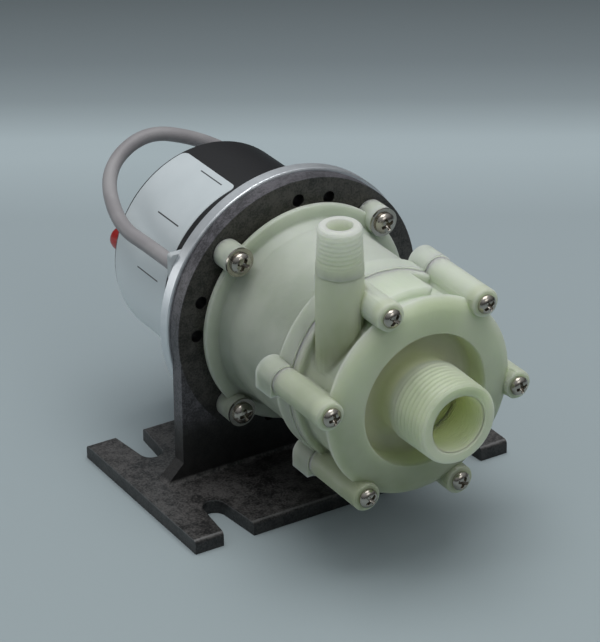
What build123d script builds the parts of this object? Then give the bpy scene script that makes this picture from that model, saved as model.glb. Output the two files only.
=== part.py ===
"""Magnetic drive pump: a plastic centrifugal pump head on a foot bracket, driven through its sealed
isolation cup by a ring of magnets on the shaft of a brushless motor.

Millimetres. X is to the right of someone who looks into the inlet, Y runs back along the pump axis
and Z is up, with the foot standing on Z = 0. A station is a distance along the pump axis, measured
forwards from the front face of the bracket plate, so the inlet is at positive stations and the motor
at negative ones.
"""

import os
from math import acos, asin, atan2, cos, degrees, hypot, radians, sin, sqrt, tan

from build123d import *

# Foot bracket
AXIS_HEIGHT = 55.0
BASE_WIDTH = 116.8
BASE_FRONT = 33.5
BASE_REAR = 36.9
BASE_THICK = 4.8
PLATE_THICK = 5.3
PLATE_RADIUS = 44.0
PLATE_BORE = 27.0
LEG_WIDTH = 86.4
GUSSET = 6.3
FOOT_FILLET = 1.5
SLOT_SPREAD = 85.8
SLOT_END_RADIUS = 3.9
SLOT_MOUTH = 10.8
SLOT_DEPTH = 18.8

# Bolt circle that the bracket plate, the motor flange and the bell share
FACE_BOLT_RADIUS = 37.2
FACE_BOLT_ANGLE = 45.0
SPARE_HOLE_RADIUS = 2.1
SPARE_HOLE_STEP = 17.6

# Screws of the 3.5 mm size through the bell's ears, with their washers
FACE_SCREW_RADIUS = 1.7
FACE_SCREW_HOLE = 1.95
FACE_TAPPED_HOLE = 1.75
FACE_HEAD_RADIUS = 3.45
FACE_HEAD_HEIGHT = 2.4
WASHER_RADIUS = 4.75
WASHER_THICK = 0.8

# Screws and nuts of the M3 size
SCREW_RADIUS = 1.45
SCREW_HOLE = 1.7
TAPPED_HOLE = 1.5
HEAD_RADIUS = 3.05
HEAD_HEIGHT = 2.2
NUT_FLATS = 5.5
NUT_THICK = 2.4
NUT_POCKET_GAP = 0.1

# Clearances
FIT_GAP = 0.05
SHAFT_GAP = 0.03
RUNNING_GAP = 0.8
FACE_GAP = 0.3

# Motor
FLANGE_RADIUS = 45.0
FLANGE_THICK = 4.5
PILOT_LENGTH = 3.0
PILOT_WALL = 4.0
SHAFT_RADIUS = 4.0
SHAFT_SHOULDER = 5.5
SHAFT_FLAT = 0.6
CAN_RADIUS = 34.5
CAN_WALL = 1.8
CAN_LENGTH = 48.7
CAN_EDGE = 1.0
SPIGOT_WALL = 5.0
SPIGOT_LENGTH = 2.5
BEARING_RADIUS = 11.0
BEARING_WIDTH = 7.0
BEARING_HOUSING = 15.0
BEARING_GROOVE = 0.5
COVER_PLATE_THICK = 3.0
BEARING_CAP = 2.0
TIE_BOLT_RADIUS = 30.6
TIE_BOLT_ANGLE = 182.0
TIE_BOLT_HEAD = 2.75
TIE_BOLT_HEAD_HEIGHT = 2.0
STATOR_FRONT = -25.0
STATOR_LENGTH = 20.0
STATOR_BORE = 17.5
STATOR_YOKE_INNER = 28.0
TOOTH_COUNT = 9
TOOTH_WIDTH = 4.0
TOOTH_TIP = 1.7
TOOTH_TIP_ANGLE = 33.0
COIL_SIDE = 2.4
COIL_END = 2.8
COIL_LINER = 0.3
ROTOR_OVERHANG = 1.0
ROTOR_GAP = 0.5
ROTOR_MAGNET_THICK = 3.7
ROTOR_MAGNET_COUNT = 6
MAGNET_SPACING = 4.0
BOARD_RADIUS = 28.5
BOARD_BORE = 15.9
BOARD_THICK = 1.6
BOARD_SPACER = 5.7
BOARD_SPACER_RADIUS = 2.5
BOARD_SPACER_CIRCLE = 23.0
CHIP_COUNT = 6
CHIP_SIZE = 6.0
CHIP_HEIGHT = 2.2
LABEL_THICK = 0.15
LABEL_FRONT = 15.2
LABEL_REAR = 47.4
LABEL_START = 102.5
LABEL_SWEEP = 150.0
REAR_CAP_RADIUS = 3.6
REAR_CAP_HEIGHT = 3.5
REAR_CAP_CIRCLE = 28.9
REAR_CAP_ANGLE = 167.5
PRELOAD_THICK = 0.6

# Cable and its gland in the motor flange
CABLE_DIAMETER = 4.8
CABLE_X = -36.0
CABLE_RISE = 18.0
CABLE_Z = AXIS_HEIGHT + CABLE_RISE
GLAND_THICK = 2.4
GLAND_WIDTH = 8.6
GLAND_ABOVE = 6.6
GLAND_BELOW = 2.6
LEAD_CHANNEL = 5.0
LEAD_CHANNEL_DEPTH = 3.0
LEAD_HOLE_CIRCLE = 23.5

# Drive magnet assembly on the motor shaft
HUB_RADIUS = 9.5
HUB_START = 1.0
DRIVE_WEB_START = 8.5
DRIVE_WEB_THICK = 3.5
DRIVE_RIM_WALL = 2.2
DRIVE_RIM_END = 36.0
DRIVE_MAGNET_THICK = 3.4
DRIVE_MAGNET_COUNT = 8
SET_SCREW_RADIUS = 2.0
SET_SCREW_STATION = 4.6

# Bell housing
BELL_RADIUS = 30.8
BELL_BORE = 28.0
BELL_SEAT_RADIUS = 34.0
BELL_FLANGE_RADIUS = 36.7
BELL_FLANGE_BEVEL = 3.0
BELL_FLANGE_THICK = 4.4
BELL_SKIRT = 9.0
BELL_FRONT = 46.6
BELL_FRONT_RADIUS = 32.8
BELL_FRONT_THICK = 7.1
BELL_LEDGE = 8.1
BELL_LEDGE_BORE = 22.5
BELL_LIP = 3.0
BELL_REGISTER = 2.0
BELL_REGISTER_WALL = 2.4
EAR_RADIUS = 4.7
EAR_THICK = 7.8
LUG_RADIUS = 5.2
LUG_THICK = 8.6
LUG_UNDERSIDE = 4.2

# Isolation cup
CUP_FLANGE_RADIUS = 29.0
CUP_FLANGE_THICK = 4.0
CUP_RADIUS = 20.2
CUP_WALL = 1.8
CUP_FLOOR = 14.0
CUP_FLOOR_THICK = 3.0
SPINDLE_BOSS_RADIUS = 5.5
SPINDLE_BOSS_LENGTH = 4.5

# Pump cover with its volute, inlet and outlet
COVER_FACE = 72.0
COVER_RADIUS = 32.6
COVER_NECKING = 3.0
COVER_REAR_STEP = 0.4
COVER_RING = 4.6
COVER_SHOULDER = 4.0
COVER_REAR_THICK = 3.0
COVER_PAD_ANGLE = 73.0
COVER_PAD_LENGTH = 14.4
COVER_PAD_EDGE = 1.0
RECESS_RADIUS = 21.7
RECESS_DRAFT = 1.0
RECESS_FLOOR = 63.5
COVER_SCREW_CIRCLE = 34.0
COVER_SCREW_ANGLE = -7.8
COVER_SCREW_COUNT = 6
COVER_SCREW_LENGTH = 34.0
BOSS_RADIUS = 4.7
BOSS_FACE = 72.3
BOSS_WEB = 6.4
INLET_END = 89.6
INLET_THREAD_RADIUS = 13.335
INLET_THREAD_LENGTH = 16.6
INLET_NECK_RADIUS = 12.7
INLET_BORE = 9.1
MOUTH_CHAMFER = 0.5
EYE_BORE = 8.4
EYE_LENGTH = 5.5
EYE_CONE = 1.4
PORT_CHAMFER = 0.7
OUTLET_X = -20.4
OUTLET_STATION = 56.0
OUTLET_TOP = 112.1
OUTLET_THREAD_RADIUS = 6.86
OUTLET_THREAD_LENGTH = 14.8
OUTLET_PIPE_RADIUS = 7.3
OUTLET_BORE = 3.9
VOLUTE_RADIUS = 22.6
VOLUTE_GROWTH = 1.2
VOLUTE_REAR = 50.0
VOLUTE_FRONT = 60.5
EYE_DEPTH = VOLUTE_FRONT + EYE_LENGTH
RING_GROOVE_INNER = 24.9
RING_GROOVE_WIDTH = 2.6
RING_GROOVE_DEPTH = 1.8
SPIDER_HUB_RADIUS = 4.6
SPIDER_REACH = 1.6
SPIDER_RIB = 2.0
SPIDER_RIB_COUNT = 3

# Impeller with its magnet capsule, and the spindle it turns on
SPINDLE_RADIUS = 3.0
SPINDLE_SEAT = 2.0
BUSHING_RADIUS = 4.6
IMPELLER_RADIUS = 21.5
SHROUD_THICK = 2.0
VANE_END = 57.2
VANE_THICK = 1.8
VANE_INNER = 8.4
VANE_SWEEP = 52.0
VANE_COUNT = 6
IMPELLER_HUB = 5.8
THRUST_RADIUS = 5.4
THRUST_THICK = 1.1
DRIVEN_MAGNET_THICK = 6.5
DRIVEN_MAGNET_SKIN = 1.8

# Cable route from the gland to the coil behind the motor, and the coil that puts the rest away
CABLE_ROUTE = (
    (CABLE_X, PLATE_THICK + FLANGE_THICK + GLAND_THICK, CABLE_Z),
    (CABLE_X, 29.0, CABLE_Z),
    (-39.2, 46.0, 75.0),
    (-30.1, 70.9, 82.2),
    (-13.1, 75.0, 90.6),
    (3.1, 69.6, 86.7),
    (19.5, 68.3, 76.0),
    (23.0, 70.0, 54.0),
    (21.0, 71.5, 34.0),
    (19.6, 82.0, 17.5),
    (19.6, 99.0, 5.6),
)
COIL_X = 46.0
COIL_Y = 97.0
COIL_RADIUS = 26.4
COIL_LEVELS = 2
COIL_SLACK = 0.3
TAIL_REACH = 27.0
TAIL_SLEEVE_WALL = 0.25
LEAD_COUNT = 5
LEAD_RADIUS = 0.7
LEAD_LENGTH = 24.0
LEAD_FAN = 8.0

# Places that several pieces share
PLATE_REAR = -PLATE_THICK
FLANGE_REAR = PLATE_REAR - FLANGE_THICK
CAN_END = FLANGE_REAR - CAN_LENGTH
CAN_BORE = CAN_RADIUS - CAN_WALL
PILOT_END = PLATE_REAR + PILOT_LENGTH
BEARING_SEAT = BEARING_RADIUS + FIT_GAP
FRONT_BEARING = PILOT_END - PILOT_WALL
FRONT_BEARING_END = FRONT_BEARING - BEARING_WIDTH
COVER_PLATE_REAR = CAN_END
COVER_PLATE_FRONT = COVER_PLATE_REAR + COVER_PLATE_THICK
BEARING_CAP_REAR = COVER_PLATE_REAR - BEARING_CAP
REAR_BEARING_END = BEARING_CAP_REAR + COVER_PLATE_THICK + PRELOAD_THICK
REAR_BEARING = REAR_BEARING_END + BEARING_WIDTH
STATOR_REAR = STATOR_FRONT - STATOR_LENGTH
ROTOR_RADIUS = STATOR_BORE - ROTOR_GAP
ROTOR_CORE_RADIUS = ROTOR_RADIUS - ROTOR_MAGNET_THICK
BOARD_FRONT = FLANGE_REAR - BOARD_SPACER
DRIVE_WEB_END = DRIVE_WEB_START + DRIVE_WEB_THICK
DRIVE_MAGNET_INNER = CUP_RADIUS + RUNNING_GAP
DRIVE_RIM_INNER = DRIVE_MAGNET_INNER + DRIVE_MAGNET_THICK + FIT_GAP
DRIVE_RIM_RADIUS = DRIVE_RIM_INNER + DRIVE_RIM_WALL
CUP_BORE = CUP_RADIUS - CUP_WALL
CUP_INSIDE = CUP_FLOOR + CUP_FLOOR_THICK
SPINDLE_BOSS_END = CUP_INSIDE + SPINDLE_BOSS_LENGTH
CAPSULE_RADIUS = CUP_BORE - RUNNING_GAP
CAPSULE_START = SPINDLE_BOSS_END + THRUST_THICK + FACE_GAP
SHROUD_START = BELL_FRONT + RUNNING_GAP
SHROUD_END = SHROUD_START + SHROUD_THICK
SPINDLE_HOLE = SPINDLE_RADIUS + FIT_GAP
SPINDLE_START = CUP_INSIDE - SPINDLE_SEAT + FIT_GAP
SPINDLE_END = EYE_DEPTH - SPINDLE_SEAT
SPIDER_REAR = VOLUTE_FRONT - SPIDER_REACH
LUG_REAR = BELL_FRONT - LUG_THICK
COVER_BODY_RADIUS = COVER_RADIUS - COVER_NECKING
COVER_REAR_RADIUS = COVER_RADIUS - COVER_REAR_STEP
COVER_PAD_FRONT = BELL_FRONT + COVER_PAD_LENGTH
BEARING_BORE = SHAFT_RADIUS + SHAFT_GAP
WASHER_SEAT = EAR_THICK + WASHER_THICK
COVER_SCREW_ANGLES = [COVER_SCREW_ANGLE + 360 / COVER_SCREW_COUNT * i for i in range(COVER_SCREW_COUNT)]
FACE_BOLT_ANGLES = [FACE_BOLT_ANGLE + 90 * i for i in range(4)]
TIE_BOLT_ANGLES = [TIE_BOLT_ANGLE + 90 * i for i in range(4)]
CABLE_RADIUS = CABLE_DIAMETER / 2
COIL_HEIGHT = COIL_LEVELS * CABLE_DIAMETER + COIL_SLACK

# Front view of the axis: x right, y up and z forwards along the stations
FRONT = Plane(origin=(0, 0, AXIS_HEIGHT), x_dir=(1, 0, 0), z_dir=(0, -1, 0))
# Turned profiles: x is the radius and y the station, and the seam lies between the bosses
SEAM = radians(20)
TURNING = Plane(
    origin=(0, 0, AXIS_HEIGHT), x_dir=(cos(SEAM), 0, sin(SEAM)), z_dir=(sin(SEAM), 0, -cos(SEAM))
)
UPWARDS = (Align.CENTER, Align.CENTER, Align.MIN)


def rod(radius, start, end):
    """A round bar on the pump axis from one station to another."""
    return FRONT * Pos(0, 0, start) * Cylinder(radius, end - start, align=UPWARDS)


def ring(outer, inner, start, end):
    """A round bar with a hole through it."""
    return rod(outer, start, end) - rod(inner, start - 1, end + 1)


def turned(*corners):
    """A body turned about the pump axis, from corners (radius, station) with an optional rounding."""
    points = [corner[:2] for corner in corners]
    rounds = [corner[2] if len(corner) > 2 else 0 for corner in corners]
    outline = FilletPolyline(*points, radius=rounds, close=True)
    return TURNING * revolve(make_face(outline), Axis.Y)


def place(radius, angle, station):
    """A place round the pump axis as someone who faces the inlet sees it."""
    return FRONT * Pos(radius * cos(radians(angle)), radius * sin(radians(angle)), station)


def pillar(radius, circle, angle, start, end):
    """A round bar beside the pump axis and parallel to it."""
    return place(circle, angle, start) * Cylinder(radius, end - start, align=UPWARDS)


def pillars(radius, circle, angles, start, end):
    """The same bar at several angles."""
    return [pillar(radius, circle, angle, start, end) for angle in angles]


def spoke(width, inner, outer, angle, start, end):
    """A straight block that runs outwards from the pump axis."""
    block = Box(outer - inner, width, end - start, align=(Align.MIN, Align.CENTER, Align.MIN))
    return FRONT * Rot(0, 0, angle) * Pos(inner, 0, start) * block


def sector(outer, inner, first, sweep, start, end):
    """Part of a ring, from an angle on anticlockwise as seen from the front."""
    wedge = Rectangle(outer - inner, end - start, align=Align.MIN)
    profile = Plane.XZ * Pos(inner, start) * wedge
    return FRONT * Rot(0, 0, first) * revolve(profile, Axis.Z, sweep)


def screw(circle, angle, seat, length, radius, head_radius, head_height, forwards=1):
    """A pan head screw beside the pump axis, with its head on the seat."""
    shank = Cylinder(radius, length, align=(Align.CENTER, Align.CENTER, Align.MAX))
    head = Cylinder(head_radius, head_height, align=UPWARDS)
    head = fillet(head.edges().sort_by(Axis.Z)[-1], head_height * 0.6)
    turn = Rot(0, 0, 0) if forwards > 0 else Rot(180, 0, 0)
    return place(circle, angle, seat) * turn * (head + shank)


def write(name, *solids):
    """One file for each node, with its solids side by side."""
    parts = [solid for piece in solids for solid in piece.solids()]
    export_step(Compound(label=name, children=parts), f"parts/{name}.step")


def slot_cut(side, edge, inwards):
    """An open slot of the foot, wider at its mouth, that runs in from one edge of the base."""
    end = SLOT_DEPTH - SLOT_END_RADIUS
    flare = asin((SLOT_MOUTH / 2 - SLOT_END_RADIUS) / end)
    shoulder = SLOT_END_RADIUS * cos(flare)
    kink = end + SLOT_END_RADIUS * sin(flare)
    mouth = shoulder + (kink + 1) * tan(flare)
    sides = Polyline((-mouth, -1), (mouth, -1), (shoulder, kink), (-shoulder, kink), close=True)
    outline = make_face(sides) + Pos(0, end) * Circle(SLOT_END_RADIUS)
    turn = Rot(0, 0, 0) if inwards > 0 else Rot(0, 0, 180)
    return Pos(side * SLOT_SPREAD / 2, edge, 0) * turn * extrude(outline, BASE_THICK)


def foot_bracket():
    """The moulded foot: a base with four open slots, and an upright plate that ends in a disc."""
    depth = BASE_FRONT + BASE_REAR
    base = Pos(0, (BASE_REAR - BASE_FRONT) / 2, 0) * Box(BASE_WIDTH, depth, BASE_THICK, align=UPWARDS)
    leg_height = AXIS_HEIGHT - BASE_THICK
    leg = Rectangle(LEG_WIDTH, leg_height, align=(Align.CENTER, Align.MAX))
    foot = Polyline(
        (-LEG_WIDTH / 2 - GUSSET, -leg_height),
        (LEG_WIDTH / 2 + GUSSET, -leg_height),
        (LEG_WIDTH / 2, GUSSET - leg_height),
        (-LEG_WIDTH / 2, GUSSET - leg_height),
        close=True,
    )
    upright = FRONT * extrude(leg + make_face(foot) + Circle(PLATE_RADIUS), -PLATE_THICK)
    bracket = base + upright
    creases = bracket.edges().filter_by(Axis.X).group_by(Axis.Z)[-1]
    bracket = fillet(creases, FOOT_FILLET)
    bracket -= rod(PLATE_BORE, PLATE_REAR - 1, 1)
    for solid in pillars(FACE_SCREW_HOLE, FACE_BOLT_RADIUS, FACE_BOLT_ANGLES, PLATE_REAR - 1, 1):
        bracket -= solid
    for solid in spare_holes():
        bracket -= solid
    for side in (-1, 1):
        bracket -= slot_cut(side, -BASE_FRONT, 1) + slot_cut(side, BASE_REAR, -1)
    return bracket


def spare_holes():
    """Two sets of four holes through the bracket plate and the motor flange, for other pump heads."""
    angles = [90 * i - shift for i in range(4) for shift in (0, SPARE_HOLE_STEP)]
    return pillars(SPARE_HOLE_RADIUS, FACE_BOLT_RADIUS, angles, FLANGE_REAR - 1, 1)


def cable_angle():
    """The angle of the cable's exit round the pump axis."""
    return degrees(atan2(CABLE_Z - AXIS_HEIGHT, CABLE_X))


def motor_flange():
    """The motor's aluminium front: it centres the bracket and the can and holds the front bearing."""
    spigot = CAN_BORE - FIT_GAP
    flange = turned(
        (0, PILOT_END),
        (PLATE_BORE - FIT_GAP, PILOT_END),
        (PLATE_BORE - FIT_GAP, PLATE_REAR),
        (FLANGE_RADIUS, PLATE_REAR, 0.6),
        (FLANGE_RADIUS, FLANGE_REAR, 0.4),
        (spigot, FLANGE_REAR),
        (spigot, FLANGE_REAR - SPIGOT_LENGTH),
        (spigot - SPIGOT_WALL, FLANGE_REAR - SPIGOT_LENGTH),
        (spigot - SPIGOT_WALL, FLANGE_REAR),
        (BEARING_HOUSING, FLANGE_REAR),
        (BEARING_HOUSING, FRONT_BEARING_END),
        (0, FRONT_BEARING_END),
    )
    flange -= rod(BEARING_SEAT, FRONT_BEARING_END - 1, FRONT_BEARING)
    flange -= rod(SHAFT_SHOULDER, FRONT_BEARING, PILOT_END + 1)
    for solid in pillars(
        FACE_TAPPED_HOLE, FACE_BOLT_RADIUS, FACE_BOLT_ANGLES, FLANGE_REAR - 1, PLATE_REAR + 1
    ):
        flange -= solid
    for solid in spare_holes():
        flange -= solid
    bolt_end = PLATE_REAR - FLANGE_THICK / 2
    for solid in pillars(TAPPED_HOLE, TIE_BOLT_RADIUS, TIE_BOLT_ANGLES, CAN_END, bolt_end):
        flange -= solid
    circle = hypot(CABLE_X, CABLE_Z - AXIS_HEIGHT)
    angle = cable_angle()
    floor = PLATE_REAR - LEAD_CHANNEL_DEPTH
    flange -= spoke(LEAD_CHANNEL, LEAD_HOLE_CIRCLE, circle, angle, floor, PILOT_END + 1)
    flange -= pillar(LEAD_CHANNEL / 2, circle, angle, FLANGE_REAR - 1, PLATE_REAR + 1)
    flange -= pillar(LEAD_CHANNEL / 2, LEAD_HOLE_CIRCLE, angle, FLANGE_REAR - 1, PILOT_END + 1)
    return flange


def motor_can():
    """The motor's drawn steel can, open at both ends and rolled over a little at the rear."""
    return turned(
        (CAN_BORE, FLANGE_REAR),
        (CAN_RADIUS, FLANGE_REAR),
        (CAN_RADIUS, CAN_END, CAN_EDGE),
        (CAN_BORE, CAN_END),
    )


def motor_label():
    """The bare label that is wrapped round the left of the can."""
    front = FLANGE_REAR - LABEL_FRONT
    rear = FLANGE_REAR - LABEL_REAR
    inner = CAN_RADIUS + LABEL_THICK / 5
    return sector(inner + LABEL_THICK, inner, LABEL_START, LABEL_SWEEP, rear, front)


def rear_cover():
    """The motor's rear plate, with the rear bearing's housing and the holes for bolts and cap."""
    plate = turned(
        (0, REAR_BEARING_END - PRELOAD_THICK),
        (BEARING_SEAT, REAR_BEARING_END - PRELOAD_THICK),
        (BEARING_SEAT, REAR_BEARING),
        (BEARING_HOUSING, REAR_BEARING, 0.5),
        (BEARING_HOUSING, COVER_PLATE_FRONT, 1.0),
        (CAN_BORE - FIT_GAP, COVER_PLATE_FRONT),
        (CAN_BORE - FIT_GAP, COVER_PLATE_REAR, 0.5),
        (BEARING_HOUSING, COVER_PLATE_REAR, 0.5),
        (BEARING_HOUSING, BEARING_CAP_REAR, 0.8),
        (0, BEARING_CAP_REAR),
    )
    below = COVER_PLATE_REAR - 1
    above = COVER_PLATE_FRONT + 1
    for solid in pillars(SCREW_HOLE, TIE_BOLT_RADIUS, TIE_BOLT_ANGLES, below, above):
        plate -= solid
    return plate - pillar(REAR_CAP_RADIUS * 0.6 + FIT_GAP, REAR_CAP_CIRCLE, REAR_CAP_ANGLE, below, above)


def rear_cap():
    """The small red cap that closes the adjuster's hole in the rear plate."""
    head = pillar(
        REAR_CAP_RADIUS, REAR_CAP_CIRCLE, REAR_CAP_ANGLE, COVER_PLATE_REAR - REAR_CAP_HEIGHT, COVER_PLATE_REAR
    )
    head = fillet(head.edges().sort_by(Axis.Y)[-1], REAR_CAP_RADIUS * 0.4)
    stem = pillar(
        REAR_CAP_RADIUS * 0.6, REAR_CAP_CIRCLE, REAR_CAP_ANGLE, COVER_PLATE_REAR - 0.1, COVER_PLATE_FRONT
    )
    return head + stem


def tie_bolts():
    """Four long bolts that hold the rear plate, the can and the stator against the flange."""
    length = FLANGE_REAR + FLANGE_THICK / 3 - COVER_PLATE_REAR
    return [
        screw(
            TIE_BOLT_RADIUS,
            angle,
            COVER_PLATE_REAR,
            length,
            SCREW_RADIUS,
            TIE_BOLT_HEAD,
            TIE_BOLT_HEAD_HEIGHT,
            forwards=-1,
        )
        for angle in TIE_BOLT_ANGLES
    ]


def bearing(front):
    """One sealed ball bearing, with the step of its seal on both faces."""
    rear = front - BEARING_WIDTH
    rail = (BEARING_RADIUS - BEARING_BORE) * 0.25
    return turned(
        (BEARING_BORE, front),
        (BEARING_BORE + rail, front),
        (BEARING_BORE + rail, front - BEARING_GROOVE),
        (BEARING_RADIUS - rail, front - BEARING_GROOVE),
        (BEARING_RADIUS - rail, front),
        (BEARING_RADIUS, front),
        (BEARING_RADIUS, rear),
        (BEARING_RADIUS - rail, rear),
        (BEARING_RADIUS - rail, rear + BEARING_GROOVE),
        (BEARING_BORE + rail, rear + BEARING_GROOVE),
        (BEARING_BORE + rail, rear),
        (BEARING_BORE, rear),
    )


def preload_washer():
    """The spring washer that presses the rear bearing forwards."""
    outer = BEARING_RADIUS - FIT_GAP
    return ring(outer, outer * 0.75, REAR_BEARING_END - PRELOAD_THICK, REAR_BEARING_END)


def motor_shaft():
    """The stepped steel shaft, with a flat at its front end for the drive hub's set screws."""
    rear = REAR_BEARING_END + FACE_GAP
    shaft = turned(
        (0, DRIVE_WEB_END),
        (SHAFT_RADIUS, DRIVE_WEB_END, 0.5),
        (SHAFT_RADIUS, FRONT_BEARING_END - FACE_GAP),
        (SHAFT_SHOULDER, FRONT_BEARING_END - FACE_GAP),
        (SHAFT_SHOULDER, REAR_BEARING + FACE_GAP),
        (SHAFT_RADIUS, REAR_BEARING + FACE_GAP),
        (SHAFT_RADIUS, rear, 0.5),
        (0, rear),
    )
    flat = Box(2 * SHAFT_RADIUS, SHAFT_FLAT, DRIVE_WEB_END, align=(Align.CENTER, Align.MAX, Align.MIN))
    return shaft - FRONT * Pos(0, SHAFT_RADIUS, HUB_START) * flat


def rotor_core():
    """The steel core that carries the rotor's magnets."""
    outer = ROTOR_CORE_RADIUS - FIT_GAP
    inner = SHAFT_SHOULDER + SHAFT_GAP
    return ring(outer, inner, STATOR_REAR - ROTOR_OVERHANG, STATOR_FRONT + ROTOR_OVERHANG)


def magnet_ring(inner, outer, count, start, end):
    """Curved magnets side by side in a circle, with a glue line between them."""
    pitch = 360 / count
    sweep = pitch - MAGNET_SPACING
    return [sector(outer, inner, i * pitch + MAGNET_SPACING / 2, sweep, start, end) for i in range(count)]


def stator_core():
    """The laminated stator: a yoke with notches for the tie bolts, and teeth with broad tips."""
    stack = ring(CAN_BORE - FIT_GAP, STATOR_YOKE_INNER, STATOR_REAR, STATOR_FRONT)
    for solid in pillars(
        SCREW_HOLE + FIT_GAP, TIE_BOLT_RADIUS, TIE_BOLT_ANGLES, STATOR_REAR - 1, STATOR_FRONT + 1
    ):
        stack -= solid
    tip = STATOR_BORE + TOOTH_TIP
    root = tip - TOOTH_TIP / 2
    for i in range(TOOTH_COUNT):
        angle = 360 / TOOTH_COUNT * i
        stack += spoke(TOOTH_WIDTH, root, STATOR_YOKE_INNER + 1, angle, STATOR_REAR, STATOR_FRONT)
        first = angle - TOOTH_TIP_ANGLE / 2
        stack += sector(tip, STATOR_BORE, first, TOOTH_TIP_ANGLE, STATOR_REAR, STATOR_FRONT)
    return stack


def windings():
    """A copper coil round each tooth of the stator."""
    hole = TOOTH_WIDTH + 2 * COIL_LINER
    half = hole / 2 + COIL_SIDE
    inner = STATOR_BORE + TOOTH_TIP + COIL_LINER
    outer = sqrt((STATOR_YOKE_INNER - COIL_LINER) ** 2 - half**2)
    front = STATOR_FRONT + COIL_LINER
    rear = STATOR_REAR - COIL_LINER
    coils = []
    for i in range(TOOTH_COUNT):
        angle = 360 / TOOTH_COUNT * i
        coil = spoke(2 * half, inner, outer, angle, rear - COIL_END, front + COIL_END)
        coils.append(coil - spoke(hole, inner - 1, outer + 1, angle, rear, front))
    return coils


def circuit_board():
    """The ring-shaped drive board behind the motor flange."""
    return ring(BOARD_RADIUS, BOARD_BORE, BOARD_FRONT - BOARD_THICK, BOARD_FRONT)


def board_spacers():
    """Three pillars between the motor flange and the board."""
    return pillars(BOARD_SPACER_RADIUS, BOARD_SPACER_CIRCLE, (90, 210, 330), BOARD_FRONT, FLANGE_REAR)


def board_chips():
    """The switching transistors on the rear face of the board."""
    rear = BOARD_FRONT - BOARD_THICK
    middle = (BOARD_RADIUS + BOARD_BORE) / 2
    inner = middle - CHIP_SIZE / 2
    outer = middle + CHIP_SIZE / 2
    angles = [360 / CHIP_COUNT * i for i in range(CHIP_COUNT)]
    return [spoke(CHIP_SIZE, inner, outer, angle, rear - CHIP_HEIGHT, rear) for angle in angles]


def drive_hub():
    """The steel cup on the shaft: its rim carries the drive magnets round the isolation cup."""
    hub = turned(
        (BEARING_BORE, HUB_START),
        (HUB_RADIUS, HUB_START, 0.8),
        (HUB_RADIUS, DRIVE_WEB_START),
        (DRIVE_RIM_RADIUS, DRIVE_WEB_START, 1.0),
        (DRIVE_RIM_RADIUS, DRIVE_RIM_END),
        (DRIVE_RIM_INNER, DRIVE_RIM_END),
        (DRIVE_RIM_INNER, DRIVE_WEB_END),
        (BEARING_BORE, DRIVE_WEB_END),
    )
    for angle in (90, 180):
        hub -= set_screw(angle, SET_SCREW_RADIUS + FIT_GAP, HUB_RADIUS + 1)
    return hub


def set_screw(angle, radius, outer):
    """A grub screw that stands on the shaft and points outwards through the hub."""
    grip = SHAFT_RADIUS - SHAFT_FLAT if angle == 90 else SHAFT_RADIUS
    bar = Cylinder(radius, outer - grip, align=UPWARDS)
    return FRONT * Rot(0, 0, angle) * Pos(grip, 0, SET_SCREW_STATION) * Rot(0, 90, 0) * bar


def lug(angle):
    """One of the bell's front lugs: round above, flat below, with a nut pocket at the rear."""
    round_part = Circle(LUG_RADIUS)
    flat_part = Rectangle(2 * LUG_RADIUS, LUG_UNDERSIDE, align=(Align.CENTER, Align.MAX))
    return place(COVER_SCREW_CIRCLE, angle, LUG_REAR) * extrude(round_part + flat_part, LUG_THICK)


def nut_pocket(angle, flats, depth):
    """A hexagon at the rear of a lug, as a pocket or as the nut in it."""
    hexagon = RegularPolygon(flats / 2, 6, major_radius=False)
    return place(COVER_SCREW_CIRCLE, angle, LUG_REAR) * Rot(0, 0, angle) * extrude(hexagon, depth)


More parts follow.
